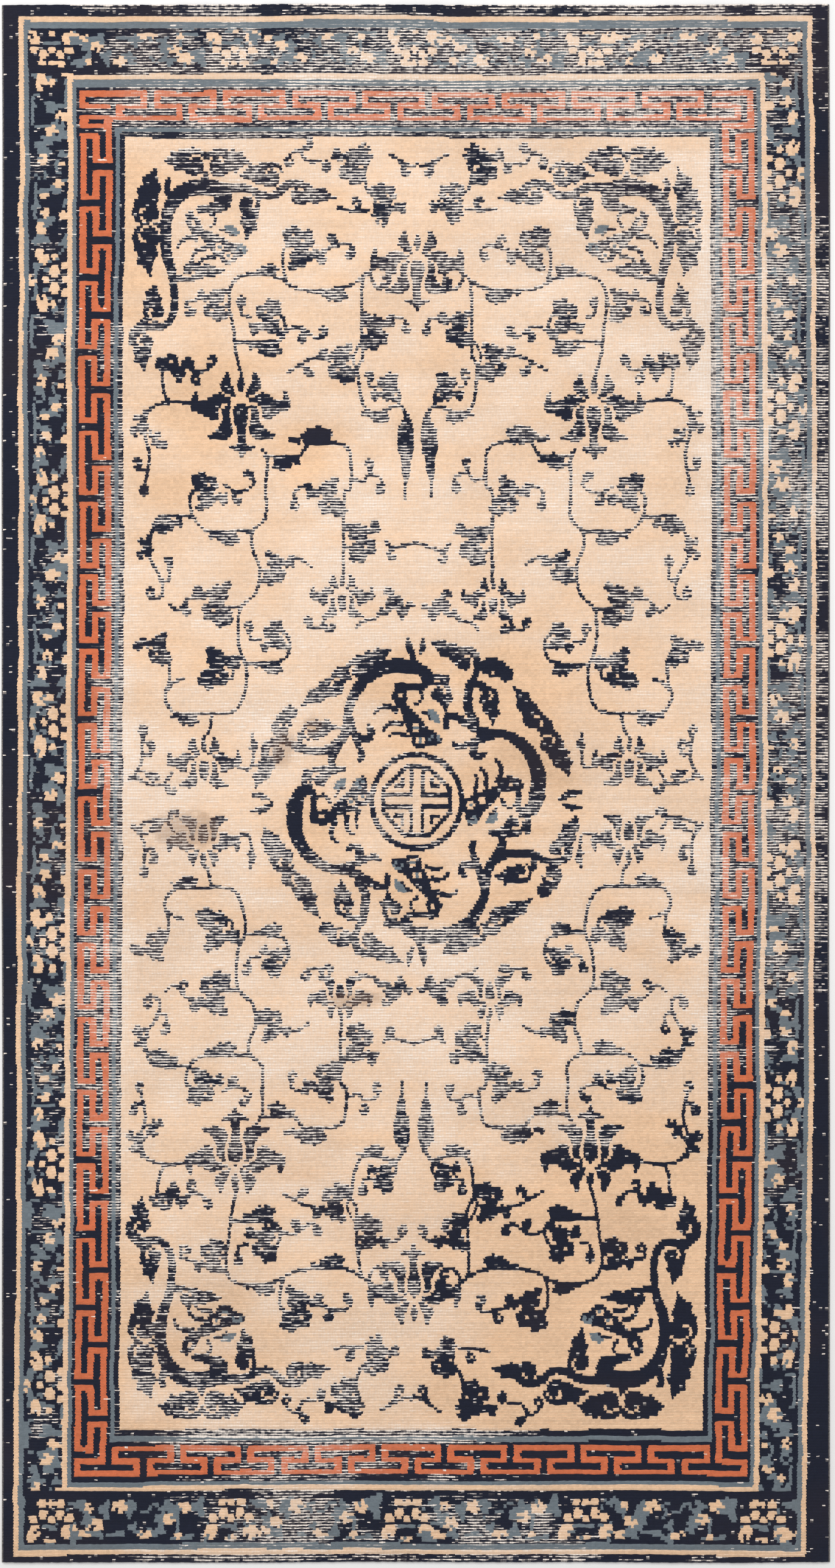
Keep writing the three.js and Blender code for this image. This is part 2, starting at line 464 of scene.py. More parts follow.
sprays = [  # leaf, joint (right, down), turn, flip, size
    ("flag", (71, 44), 175, -1, 1.2), ("cap", (72.6, 29.6), 0, 1, 0.8), ("flag", (82, 50), 0, 1, 0.9),
    ("side", (90.4, 9.6), 10, 1, 0.42), ("cap", (84, 9.4), -20, 1, 0.6), ("side", (53.4, 16), 250, 1, 0.5),
    ("cap", (45, 46), 0, 1, 0.8), ("flag", (43.8, 57), 25, -1, 0.85), ("flag", (60.6, 65), -6, 1, 1.25),
    ("flag", (50.6, 77), 180, -1, 0.95), ("cap", (59.4, 87.6), 0, 1, 0.9), ("flag", (74, 100), 180, 1, 1.05),
    ("solid", (78.4, 91.6), 0, 1, 0.85), ("side", (87.4, 87), 80, -1, 0.9), ("flag", (24.2, 98), 8, 1, 1.1),
    ("cap", (30, 113.6), 0, -1, 1.25), ("solid", (40, 110.2), 0, 1, 0.8), ("flag", (22.4, 83), 200, -1, 1.15),
    ("side", (13.6, 62), 190, 1, 0.6), ("flag", (8.6, 64), 215, 1, 0.7), ("cap", (10.4, 123.4), 0, 1, 0.8),
    ("flag", (6.6, 132), 10, -1, 0.85), ("flag", (21, 138), -6, 1, 1.1),
    ("flag", (17.6, 148.4), 190, -1, 1.05), ("cap", (46, 145.2), 0, 1, 0.95),
    ("flag", (45, 155), 12, -1, 1.05), ("cap", (46.6, 167.4), 0, -1, 0.85), ("cap", (24, 163), 0, 1, 1.0),
    ("flag", (63, 157), -10, 1, 0.95), ("flag", (43.4, 178), 180, 1, 1.25), ("side", (15, 195), 100, 1, 0.9),
    ("flag", (14.6, 195.6), 180, 1, 1.0), ("side", (16.8, 206), 262, 1, 0.95),
    ("flag", (18, 207), -12, 1, 1.05), ("side", (88, 124.6), 78, -1, 0.95),
    ("side", (88.6, 118), 118, 1, 0.8), ("flag", (83.4, 136.4), 225, 1, 0.9),
]
lens = [(20.5, 138), (21, 141), (19, 145.5)]  # a second stem that parts from the first round a pale lens
# beside the middle line: place (right, down) and width
tallBud = [(4, 103.5, 1.6), (4, 106, 3), (4, 109, 3), (4, 112, 5.4), (4, 117, 5.4), (3.5, 120, 3),
           (3.5, 122, 1.4)]
# place (right, down), size and how many of the parts; the small ones have no stalk below
lotuses = [((58.5, 126), 1.0, 9), ((69.5, 14.5), 0.75, 7), ((24.5, 69.5), 0.65, 7)]
middleLotus = ((0, 173), 0.94)


def fieldVines(chart):
    bud = np.array(tallBud)
    for side in (1, -1):
        for up in (-1, 1):
            quarter = (side, up)
            for route, knob in vines:
                vine(chart, quarter, route, knob=knob)
            vine(chart, quarter, lens, 0.8)
            for kind, at, turn, flip, size in sprays:
                leaf(chart, quarter, kind, at, turn, flip, size)
            ribbon(chart, np.column_stack([inQuarter(bud[:, :2] * (1, -1), quarter), bud[:, 2]]), navy)
            for at, size, parts in lotuses:
                lotus(chart, quarter, at, size, parts)
    for up in (-1, 1):
        lotus(chart, (1, up), *middleLotus)


def axes(ball, tip, flip):  # length from ball to tip, the way there, and the way across
    length = math.hypot(*(tip - ball))
    u = (tip - ball) / length
    return length, u, flip * np.array([-u[1], u[0]])


blade = {  # heights in sizes of the blade
    "lowest": 0.62,  # where the back would start at the tip, how much it climbs to the ball, and its limit
    "climb": 1.1,
    "highest": 1.06,
    "tipRise": 0.55,  # back of the tip itself
    "front": 0.72,
    "tipFront": 0.42,
    "late": 0.45,  # how many steps later the front swells
    "droop": 0.3,  # how far a lobe falls off to its next step
}


# a scalloped blade: its back rises in steps, its front swells late, and it narrows to its tip
def bladeOutline(ball, tip, size, flip, lobes):
    ball, tip = np.array(ball, float), np.array(tip, float)
    length, u, v = axes(ball, tip, flip)
    s = np.linspace(0, 1, 10 * lobes + 1)  # from the tip to the ball
    step = np.floor(s * lobes * 0.999)
    rise = s * lobes - step
    level = np.minimum(blade["lowest"] + blade["climb"] * step / lobes, blade["highest"])
    swell, fall = np.minimum(1, 0.66 + 1.7 * rise), 1 - blade["droop"] * rise**2
    back = np.where(step == 0, blade["tipRise"] * rise, level * swell * fall)
    late = np.maximum(s * lobes - blade["late"], 0)
    rise = late - np.floor(late)
    swell, fall = np.minimum(1, 0.7 + 1.7 * rise), 1 - blade["droop"] * rise**2
    front = -np.where(late < 1, blade["tipFront"] * late, blade["front"] * swell * fall)
    down = length * (1 - s)
    edge = np.vstack([np.column_stack([down, back * size]), np.column_stack([down, front * size])[::-1]])
    return ball + edge[:, :1] * u + edge[:, 1:] * v


def hookLine(ball, tip, size, flip, turn):  # pale spiral that parts the ball from the stem wound round it
    ball, tip = np.array(ball, float), np.array(tip, float)
    _, u, v = axes(ball, tip, flip)
    share = np.linspace(0, 1, 14)
    angle = np.radians(turn[0] + (turn[1] - turn[0]) * share)
    radius = size * (0.42 * (1 - share) ** 4 + 0.74 - 0.5 * share)
    return ball + (radius * np.cos(angle))[:, None] * u + (radius * np.sin(angle))[:, None] * v


dragonHead = {
    # nape at the origin, snout at (1, 0): along, across and width, in lengths of the head
    "skull": [(0, 0.04, 0.12), (0.15, 0.03, 0.16), (0.35, 0, 0.26), (0.55, -0.03, 0.34), (0.72, -0.02, 0.32),
              (0.88, 0.08, 0.26), (0.97, 0.12, 0.14)],
    "cheek": [(0.46, 0.35, 0.06), (0.58, 0.36, 0.15), (0.7, 0.34, 0.08)],
    "nostrils": [(0.85, 0.03, 0.06), (0.84, 0.13, 0.06), (0.92, 0.18, 0.06), (0.98, 0.08, 0.06)],
    # place and radius, each with an eye
    "brows": [(0.54, -0.04, 0.17), (0.76, -0.12, 0.16)],
    # radius of the ring and of the dot in it
    "eye": (0.08, 0.035),
    # where a lock starts, its direction and how far it turns in degrees, its length and width
    "locks": [(0.06, 0.08, 128, 90, 0.42, 0.1), (0.02, 0, 168, -95, 0.46, 0.12),
              (0.1, -0.1, 196, 100, 0.48, 0.11), (0.34, -0.18, 214, 90, 0.42, 0.1),
              (0.58, -0.26, 200, 60, 0.34, 0.08), (0.2, 0.2, 66, 130, 0.36, 0.07),
              (0.34, 0.22, 30, -60, 0.3, 0.05)],
}


def drawHead(chart, put, at, turn, size, flip):
    def band(points, yarn):
        route = np.array(points, float)
        spots = put(placed(route[:, :2], at, turn, size, flip))
        ribbon(chart, np.column_stack([spots, np.maximum(route[:, 2] * size, 0.9)]), yarn)

    for x, y, angle, curl, length, width in dragonHead["locks"]:
        share = np.linspace(0, 1, 12)
        way = np.radians(angle + curl * share**1.5)
        steps = length / len(share) * np.column_stack([np.cos(way), np.sin(way)])
        band(np.column_stack([np.cumsum(steps, 0) + (x, y), width * (1 - 0.5 * share)]), navy)
    band(smoothLine(dragonHead["skull"]), navy)
    for x, y, radius in dragonHead["brows"]:
        ring, dot = dragonHead["eye"]
        for r, yarn in ((radius, navy), (ring, beige), (dot, slate)):
            band([(x, y, 2 * r), (x + 0.001, y, 2 * r)], yarn)
    for part in ("cheek", "nostrils"):
        band(smoothLine(dragonHead[part]), slate)


def drawBeast(chart, put, beast):  # plumes first, the body over them, and the pale hooks over both
    circle = np.radians(np.arange(0, 360, 15))
    for ball, tip, size, flip, lobes, _ in beast["plumes"]:
        fillShape(chart, put(bladeOutline(ball, tip, size, flip, lobes)), navy)
        fillShape(chart, put(np.array(ball) + size * np.column_stack([np.cos(circle), np.sin(circle)])), navy)
    for points in beast["bands"]:
        route = smoothLine(points)
        ribbon(chart, np.column_stack([put(route[:, :2]), route[:, 2]]), navy)
    for ball, tip, size, flip, _, hook in beast["plumes"]:
        drawLine(chart, put(hookLine(ball, tip, size, flip, hook)), 0.95, beige)


dragon = {
    "corner": (96.4, 226),  # of the field, from the middle of the rug
    # knots in from the side of the field and in from its end, and the width there
    "bands": [
        [(3, 72, 2), (3, 69, 2.5), (5, 66.5, 2.5), (9, 66, 2.5), (13, 66, 2.5), (16, 63, 2.5), (17, 58, 2.5),
         (16.5, 51, 2.5), (15.5, 46, 3), (14, 41, 3.5), (13.5, 34, 3.5), (14, 28, 4), (17, 21.5, 5),
         (22, 18, 5.5), (28, 17.5, 6), (32, 19, 6), (32.5, 23, 5.5), (29, 24.5, 3), (25, 25.5, 2.5)],
        [(32, 18, 4.5), (37, 17.5, 3), (41, 18, 3), (46, 20.5, 2.5), (50, 20.5, 2.5), (53, 17.5, 3),
         (57, 16.5, 3.5), (60, 18, 4)],
        [(15, 21, 2.5), (14, 17.5, 2), (14.5, 15.5, 2)], [(27, 16, 2), (27, 8, 2.5)],
        [(14, 31, 2), (10, 31, 2), (6, 31, 1.5)], [(5, 66, 2), (7, 64, 2)],
        [(17, 49.5, 2), (20, 49.5, 2), (24, 49, 2)], [(43.5, 19, 2), (44, 23, 2)],
    ],
    # ball, tip, size, side of the steps, steps, and how the hook turns in degrees
    "plumes": [
        ((6.5, 71.5), (7.5, 82.5), 3.5, 1, 3, (-100, -340)), ((10, 61), (11, 50.5), 3.5, -1, 3, (-112, -320)),
        ((7, 35.5), (9.5, 49.5), 4.5, 1, 3, (-130, -350)), ((7, 27), (11, 10), 4.5, -1, 4, (-90, -340)),
        ((48.5, 13), (37.5, 14), 4.5, 1, 3, (-107, -370)), ((58.5, 20.5), (71, 22), 3.5, -1, 3, (-215, -330)),
        ((41.5, 24), (40, 37), 3.5, -1, 3, (-170, -330)), ((22.5, 46.5), (35, 46), 3, 1, 3, (-200, -340)),
        ((31.5, 8.5), (42, 9), 5, -1, 4, (-112, -340)), ((23, 8.5), (12.5, 9), 5, 1, 4, (-112, -340)),
    ],
    "head": ((23.5, 33), 28, 18, -1),  # nape, direction in degrees, length, side
}


def cornerDragon(chart, side, up):
    def put(points):  # from knots in from the side and in from the end of the field
        x, y = np.array(points, float).T
        return np.column_stack([side * (dragon["corner"][0] - x), up * (dragon["corner"][1] - y)])

    drawBeast(chart, put, dragon)
    drawHead(chart, put, *dragon["head"])


# one quarter of the medallion's ring, turned four times: knots (right, up) of the middle
ring = {
    "plumes": [
        ((16, 47), (3.5, 53), 3.5, -1, 4, (-135, -330)), ((24.5, 44.5), (31.5, 40.5), 3.5, 1, 2, (-120, 70)),
        ((23.5, 34.5), (24.5, 24.5), 3.5, 1, 3, (-60, -330)),
        ((38, 27.5), (31, 39), 3.5, -1, 3, (-190, -290)), ((43.5, 19.5), (50, 7.5), 4, 1, 4, (-80, -330)),
    ],
    "lobes": [(29.5, 42, 2.5), (41.5, 25, 3)],  # round lumps that join them
    "bands": [
        [(13, 50, 2), (18, 50, 2.5), (20, 47, 2), (19.5, 42, 2), (17.5, 38.5, 2.5), (17, 34, 3), (17, 30, 3),
         (19, 26.5, 3)],
        [(22, 38.5, 2), (18, 38.5, 2)], [(-1, 47.5, 1.5), (-2.5, 50.5, 2.5), (-3, 54, 1)],
        [(1, 48.5, 1), (2, 51, 2), (2, 54, 1)],
    ],
}
curlDragon = {
    "bands": [  # body, neck, legs and mane
        [(-22.5, 25.5, 3), (-22, 32, 3), (-18, 39, 4), (-12.5, 43, 4.5), (-7, 44.5, 5), (-1.5, 44, 5)],
        [(-1.5, 44.5, 5), (2.5, 42.5, 4), (4.5, 40, 2.5), (2, 37.5, 2), (-2, 37.5, 2), (-6, 36.5, 2),
         (-7.5, 34, 2)],
        [(2.5, 40.5, 2.5), (6.5, 41, 2), (10, 40.5, 2)],
        [(-22.5, 27.5, 3), (-23.5, 22.5, 3), (-26, 18, 3), (-28, 14, 2.5), (-27.5, 11, 2), (-24.5, 10.5, 2)],
        [(-22, 28, 2.5), (-20.5, 22.5, 2.5), (-19, 18.5, 2), (-18, 15, 2), (-19, 13.5, 1.5)],
        [(-18.5, 21, 2.5), (-16, 20.5, 2.5), (-14.5, 22.5, 2), (-15.5, 24.5, 2)],
    ],
    "plumes": [((8, 36), (9.5, 28), 3.5, 1, 2, (-80, -330))],
    "head": ((-6, 32), -50, 18, 1),
}
roundel = {
    "ring": (14.9, 0.85),  # radius and half width
    "rim": (11, 0.7),  # eight-sided, inside the ring
    "cross": (1.9, 0.6),  # twin bars: from the middle line, half width
    "crossStart": 1.3,
    "square": (4.9, 0.6),  # four squares between the arms
    "squareEnds": (4.3, 7.6),
}


def medallion(chart):
    middle = quarterField["middleRow"]
    tall = 1.056  # rows to a knot

    for turn in range(4):
        def put(points, radial=1.0, turn=turn):
            p = np.array(points, float) * np.array([1, radial])
            for _ in range(turn):
                p = np.column_stack([p[:, 1], -p[:, 0]])
            return p * np.array([1, tall]) + np.array([0, middle])

        def putDragon(points, put=put, radial=0.9 if turn % 2 else 1.0):
            return put(points, radial)

        for x, y, radius in ring["lobes"]:
            drawLine(chart, put([(x, y), (x + 0.01, y)]), 2 * radius, navy)
        drawBeast(chart, put, ring)
        drawBeast(chart, putDragon, curlDragon)
        drawHead(chart, putDragon, *curlDragon["head"])

    # round in the middle: two rings and a fret with four equal quarters
    x, y = np.abs(chart["x"]), np.abs((chart["y"] - middle) / tall)
    (ringRadius, ringHalf), (rimRadius, rimHalf) = roundel["ring"], roundel["rim"]
    on = np.abs(np.hypot(x, y * 0.975) - ringRadius) < ringHalf
    rim = np.maximum(np.maximum(x, y), (x + y) * 0.74)
    on |= np.abs(rim - rimRadius) < rimHalf
    inside = rim < rimRadius
    cross, crossHalf = roundel["cross"]
    on |= inside & (np.abs(np.minimum(x, y) - cross) < crossHalf) & (np.maximum(x, y) > roundel["crossStart"])
    (square, squareHalf), (start, end) = roundel["square"], roundel["squareEnds"]
    for u, v in ((x, y), (y, x)):
        on |= inside & (np.abs(u - square) < squareHalf) & (v > start) & (v < end)
    chart["yarn"][on] = navy


floretShapes = {  # how many lobes, how deep the notches are, the turn of the first lobe, and the yarn
    "blossom": (5, 0.2, 60, beige),
    "petal": (2, 0.18, 25, beige),
    "leaf": (3, 0.3, 70, slate),
    "cell": (2, 0.04, 20, beige),
    "bed": (2, 0.04, 20, slate),
}


def floret(kind):  # one knot wide and high around its own middle
    lobes, notch, lean, _ = floretShapes[kind]
    way = np.radians(np.arange(0, 360, 10))
    reach = 0.5 * (1 - notch + notch * np.cos(lobes * (way - math.radians(lean)))) + 0.04
    return np.column_stack([np.cos(way), np.sin(way)]) * reach[:, None]


# places in the flower border: knots along from the rosette's middle, and in from the band's outer edge
sidePattern = {
    "florets": [  # kind, place, size along and in, turn
        ("leaf", 5.2, 3.2, 4, 4, 0), ("leaf", -5.2, 3.4, 4, 4, 90), ("bed", 0, 6.4, 11, 9, 0),
        ("petal", -8.2, 4.2, 6.4, 4.6, 200), ("petal", 8, 4.0, 6.4, 4.8, -20),
        ("blossom", 8.6, 8.0, 3, 2.6, 0), ("blossom", -8.4, 8.0, 3, 2.6, 0), ("cell", 0.3, 1.4, 4, 2.2, 0),
        ("leaf", 16.6, 8.4, 4, 6.5, 20), ("blossom", 20.4, 10.2, 4.6, 4.6, 0), ("leaf", 26.6, 11, 5, 3, 0),
        ("blossom", 26, 7.6, 4.8, 4.8, 30), ("bed", 30, 3.4, 2.4, 2.4, 0), ("leaf", 32.6, 4.6, 3.2, 5, 0),
        ("blossom", 36, 4, 4.6, 3.6, 0), ("leaf", 33.6, 11, 3, 3, 0), ("cell", 37, 11.2, 1.8, 2, 0),
        ("blossom", 44.4, 9.6, 3.6, 4.2, 0), ("leaf", 47, 8.2, 2.4, 4, 0),
        ("blossom", 48.2, 5.6, 2.8, 3.6, 0), ("blossom", 54.6, 6, 4, 4, 60), ("leaf", 52, 3, 3, 3, 0),
        ("cell", 56.2, 11.8, 3, 2.6, 0), ("leaf", 64, 4.2, 4.4, 5.4, 0), ("petal", 60.4, 4.1, 4.6, 4.4, 180),
        ("leaf", 64.4, 11.6, 3, 3, 0),
    ],
    "stems": [
        [(13, 4), (12.6, 1.8), (15, 1.2), (17, 2.6)],
        [(13, 1.4), (18, 1.2), (23.4, 1.6), (23.8, 6), (23.4, 10.4)], [(4, 12), (8, 12.4), (15, 12.2)],
        [(36, 9.4), (38, 8.4), (40.4, 9.4), (41, 11.6)], [(41, 2), (43, 3.6), (41.4, 5.4), (39.6, 4.4)],
        [(43.6, 2), (50, 2.4), (56, 2.2)], [(57, 2), (57.4, 6), (56.8, 10.6)],
        [(62, 12.2), (66, 12), (69, 10)], [(50, 12), (53, 11.6)],
    ],
    "veins": [  # of the rosette
        [(-6.4, 9.4), (-4.2, 4.4), (0, 3), (4.2, 4.4), (6.4, 9.6)], [(-5, 11), (0, 7.2), (5, 11)],
        [(-1.8, 4), (-2, 12)], [(2, 4), (2, 12)],
    ],
    "cells": [(-3, 8.5, 4.6, 3.4), (0, 5.4, 3, 2.2), (0, 12, 3, 2.2), (3, 8.5, 4.6, 3.4), (4.8, 11.8, 3, 2.2),
              (-4.8, 11.8, 3, 2.2)],  # of the rosette: place, size
    "rim": 1.2,  # how much wider the dark rim of a cell is
}
endPattern = {
    "florets": [  # kind, place, size along and in, turn
        ("leaf", -0.3, 6.2, 5, 3, 0), ("leaf", -6, 6.6, 3, 3, 0), ("leaf", 5.4, 6.4, 3, 3, 0),
        ("petal", -6.7, 3.8, 4.6, 6.2, 20), ("petal", 5.9, 3.8, 4.8, 6.6, -20), ("cell", -0.8, 1.5, 4, 2, 0),
        ("leaf", -11.4, 12.2, 4.5, 7, 0), ("blossom", -16, 12.4, 5.4, 5, 20),
        ("blossom", -20.6, 8.6, 4.8, 4, 0), ("leaf", -21.6, 12.8, 4, 4, 40), ("leaf", -18, 1.8, 5, 2.2, 0),
        ("cell", -18, 2.8, 2.4, 2.6, 0), ("leaf", -13.8, 1.8, 4, 2, 0), ("leaf", -24, 4.6, 3.4, 4, 0),
        ("blossom", -28.8, 3, 6.4, 3.2, 0), ("leaf", 4.5, 11, 2.4, 3, 0), ("leaf", 9, 14.2, 5, 2.4, 0),
        ("blossom", 12.2, 13, 3.4, 3.6, 0), ("leaf", 17.6, 11.4, 3.2, 6, 0),
        ("blossom", 21.4, 12.4, 5.2, 5, 0), ("leaf", 14.8, 3.6, 4, 4.2, 0), ("blossom", 14.6, 7, 4.8, 5, 0),
        ("blossom", 10.4, 3.4, 5, 3.2, 20), ("leaf", 6.8, 5, 2, 4, 0), ("leaf", 6.6, 1.4, 3.4, 2, 0),
        ("leaf", 22, 3.4, 6, 1.8, 0), ("leaf", 27, 5.6, 2.6, 3.4, 0),
    ],
    "stems": [
        [(-18, 3), (-18, 9)], [(-24.4, 13.6), (-26.6, 13.4), (-28, 11), (-30, 10.8)],
        [(-22.4, 10), (-24.4, 12.4)], [(25, 8.6), (26, 11), (24.8, 13), (27, 14)], [(12, 11), (11.9, 9)],
        [(6, 14.6), (8, 12.6)],
    ],
    "veins": [],
    "cells": [(-3.4, 14, 3, 3), (-0.4, 14, 2.4, 2.6), (2.6, 14, 3, 3), (-6.2, 8.6, 3.2, 3.2),
              (-3.1, 10.2, 3, 4), (-0.3, 8.4, 2.6, 3), (2.5, 10.2, 3, 4),
              (5.4, 8.8, 3.2, 3.2)],  # of the rosette: place, size
    "rim": 1.1,  # how much wider the dark rim of a cell is
}
flowerBand = {"side": 127.7, "top": (248, 263.6), "bottom": (-265.4, -247)}  # knots from the rug's middle
borderRuns = [
    # outer edge, step inwards, step along, middles of the rosettes, pattern
    (-flowerBand["side"], 1.0, -0.99, [253 - 77.2 * k for k in range(7)], sidePattern),
    (flowerBand["side"], -1.0, -1.03, [294.2 - 81.2 * k for k in range(7)], sidePattern),
    (flowerBand["top"][1], -0.85, 1.0, [-119.5, -59.3, 0, 58, 119], endPattern),
    (flowerBand["bottom"][0], 1.0, 1.0, [-118, -58.7, -0.3, 58.7, 117], endPattern),
]
borderStray = {
    "seed": 11,
    "place": 0.5,  # knots
    "grow": (0.95, 1.15),
    "turn": 18,  # degrees
    "slateGrow": 1.25,
    "foldFrom": 3,  # pale florets wider than this have a dark fold
}


def drawFloret(chart, seeds, at, kind, along, deep, w, h, turn):
    yarn = floretShapes[kind][3]
    stray = seeds.uniform(-borderStray["place"], borderStray["place"], 2)
    size = np.array([w, h]) * seeds.uniform(*borderStray["grow"])
    turn += seeds.uniform(-borderStray["turn"], borderStray["turn"])
    local = placed(floret(kind), (0, 0), turn, 1, 1)
    if kind == "blossom":  # with a slate leaf behind it
        beside = np.array([0.55 * w * seeds.choice([-1, 1]), seeds.uniform(-0.3, 0.3) * h])
        fillShape(chart, at(local[::-1] * size * 1.1 + (along, deep) + beside + stray), slate)
    grown = borderStray["slateGrow"] if yarn == slate else 1
    fillShape(chart, at(local * size * grown + (along, deep) + stray), yarn)
    if yarn == beige and w > borderStray["foldFrom"]:  # from the middle outwards
        way = seeds.uniform(0, 2 * math.pi)
        fold = np.array([[0.1, 0.1], [0.6, 0.6]]) * size * np.array([math.cos(way), math.sin(way)])
        drawLine(chart, at(fold + (along, deep) + stray), 0.85, seeds.choice([navy, slate]))


def flowerBorder(chart):
    seeds = np.random.default_rng(borderStray["seed"])
    for edge, inwards, onwards, places, pattern in borderRuns:
        atEnd = pattern is endPattern
        for end in (flowerBand["top"], flowerBand["bottom"]):
            if edge in end:  # the ends run across the corners
                box(chart, -flowerBand["side"], flowerBand["side"], *end, navy)
        for place in places:
            def at(points):
                along, deep = (np.array(points, float) * (onwards, inwards) + (place, edge)).T
                return np.column_stack([along, deep] if atEnd else [deep, along])

            for route in pattern["stems"]:
                drawLine(chart, at(smoothLine(route)), 1.05, slate)
            for part in sorted(pattern["florets"], key=lambda part: floretShapes[part[0]][3] == beige):
                drawFloret(chart, seeds, at, *part)
            for route in pattern["veins"]:
                drawLine(chart, at(smoothLine(route)), 0.9, navy)
            for along, deep, w, h in pattern["cells"]:
                for rim, yarn in ((pattern["rim"], navy), (0, beige)):
                    fillShape(chart, at(floret("cell") * (w + rim, h + rim) + (along, deep)), yarn)


wear = {  # how much of the cotton shows
    "seed": 31,
    "take": [1.0, 0.05, 0.5, 0.12],  # how fast each yarn wears away
    "usual": 0.55,
    "patches": [(0.24, 11, 6, 41), (0.1, 50, 30, 42)],  # amount, reach across and along in knots, seed
    "tones": [(0.05, 60, 12, 61), (0.04, 12, 8, 62)],
    # places that are more (+) or less (-) worn: across, along, reach across, reach along in knots, amount
    "places": [
        # left side
        (-122, 0, 17, 420, -0.3), (-135, 0, 7, 420, -0.4), (-98, 0, 5, 130, 0.3), (-108, -60, 5, 70, 0.15),
        (-104, 190, 9, 60, -0.15), (-104, -205, 9, 50, -0.3),
        # right side
        (122, -195, 17, 105, -0.36), (122, -70, 17, 45, -0.06), (135, -190, 7, 105, -0.35),
        (98, -75, 7, 40, 0.25), (135, 50, 6, 60, -0.1), (120, 145, 14, 72, 0.04), (135, 140, 6, 58, -0.05),
        (135, 232, 7, 36, -0.35), (135, 96, 9, 10, 0.4), (101, 160, 9, 100, 0.3), (98, 60, 7, 120, 0.1),
        (104, -185, 8, 75, -0.35), (118, 228, 12, 22, -0.2),
        # top end
        (0, 268, 200, 5, -0.18), (0, 252, 112, 10, 0.1), (0, 238, 112, 8, 0.3), (-118, 250, 16, 16, -0.35),
        (118, 252, 14, 12, -0.2), (-60, 268, 18, 5, 0.15), (0, 256, 30, 9, 0.15),
        # bottom end
        (0, -256, 200, 14, -0.2), (-40, -257, 18, 9, 0.3), (30, -257, 30, 9, 0.2),
        (-105, -257, 26, 12, -0.35), (82, -257, 22, 12, -0.35), (-35, -238, 45, 8, 0.12),
        (-10, -228, 80, 3, 0.5), (70, -234, 50, 14, -0.4), (-92, -236, 20, 14, -0.3),
        # field
        (-97, 195, 16, 26, -0.5), (-69, 133, 14, 14, -0.55), (-79, 102, 9, 8, -0.4), (-38, 116, 12, 9, -0.4),
        (75, 180, 40, 60, 0.12), (0, 183, 22, 20, 0.04), (0, 70, 90, 30, 0.1), (-35, 203, 10, 8, -0.15),
        (0, 0, 46, 50, -0.12), (-4, 37, 16, 8, -0.6), (31, 30, 13, 18, -0.6), (42, 8, 8, 16, -0.35),
        (0, 17, 8, 8, -0.7), (20, -3, 6, 10, -0.5), (-36, -17, 6, 14, -0.45), (0, -32, 9, 9, -0.6),
        (32, -32, 12, 10, -0.35), (-46, 14, 10, 16, 0.3), (0, -58, 30, 8, 0.15), (86, -110, 16, 26, -0.15),
        (86, -132, 12, 10, -0.3), (62, -138, 16, 14, -0.4), (60, -170, 40, 30, -0.45),
        (80, -205, 30, 40, -0.9), (30, -212, 26, 18, -0.4), (20, -150, 16, 16, -0.2),
        (-75, -190, 34, 45, -0.08), (-75, -120, 20, 16, 0.1), (-50, -70, 60, 40, 0.12),
        (-75, 90, 40, 50, -0.15), (-85, 0, 14, 20, 0.2),
    ],
    "stains": [(-75, -16, 10, 6, 0.35), (-44, 12, 4, 6, 0.3), (-20, -76, 9, 3, 0.3), (-34, 20, 3, 3, 0.25)],
    "haze": 0.07,  # a light soil all over
    # draws that say where a knot is bare: dashes along the rows, whole rows and single knots
    "longDashes": (0.34, 6.0, 51),  # share, length in knots, seed
    "shortDashes": (0.3, 2.2, 53),
    "rowShare": 0.14,
    "knotShare": 0.22,
    "sharpness": 5,  # how fast a knot goes from whole to bare
    "fullKnots": 0.24,  # share of the knots that still fill the gap beside them
    "fullKeeps": 0.75,  # how much less bare such a knot is
    "lostDepth": 0.7,  # how bare a lone lost knot is
    "knotTone": 0.06,  # how far the tone of knots, rows and gaps strays
    "rowTone": 0.035,
    "gapTone": 0.09,
    "sunk": 0.85,  # how much of its height the barest knot has lost
    "over": [(beige, 0.65, 0.2), (salmon, 0.25, 0.3)],  # cotton over knots: yarn, amount, least wear
}


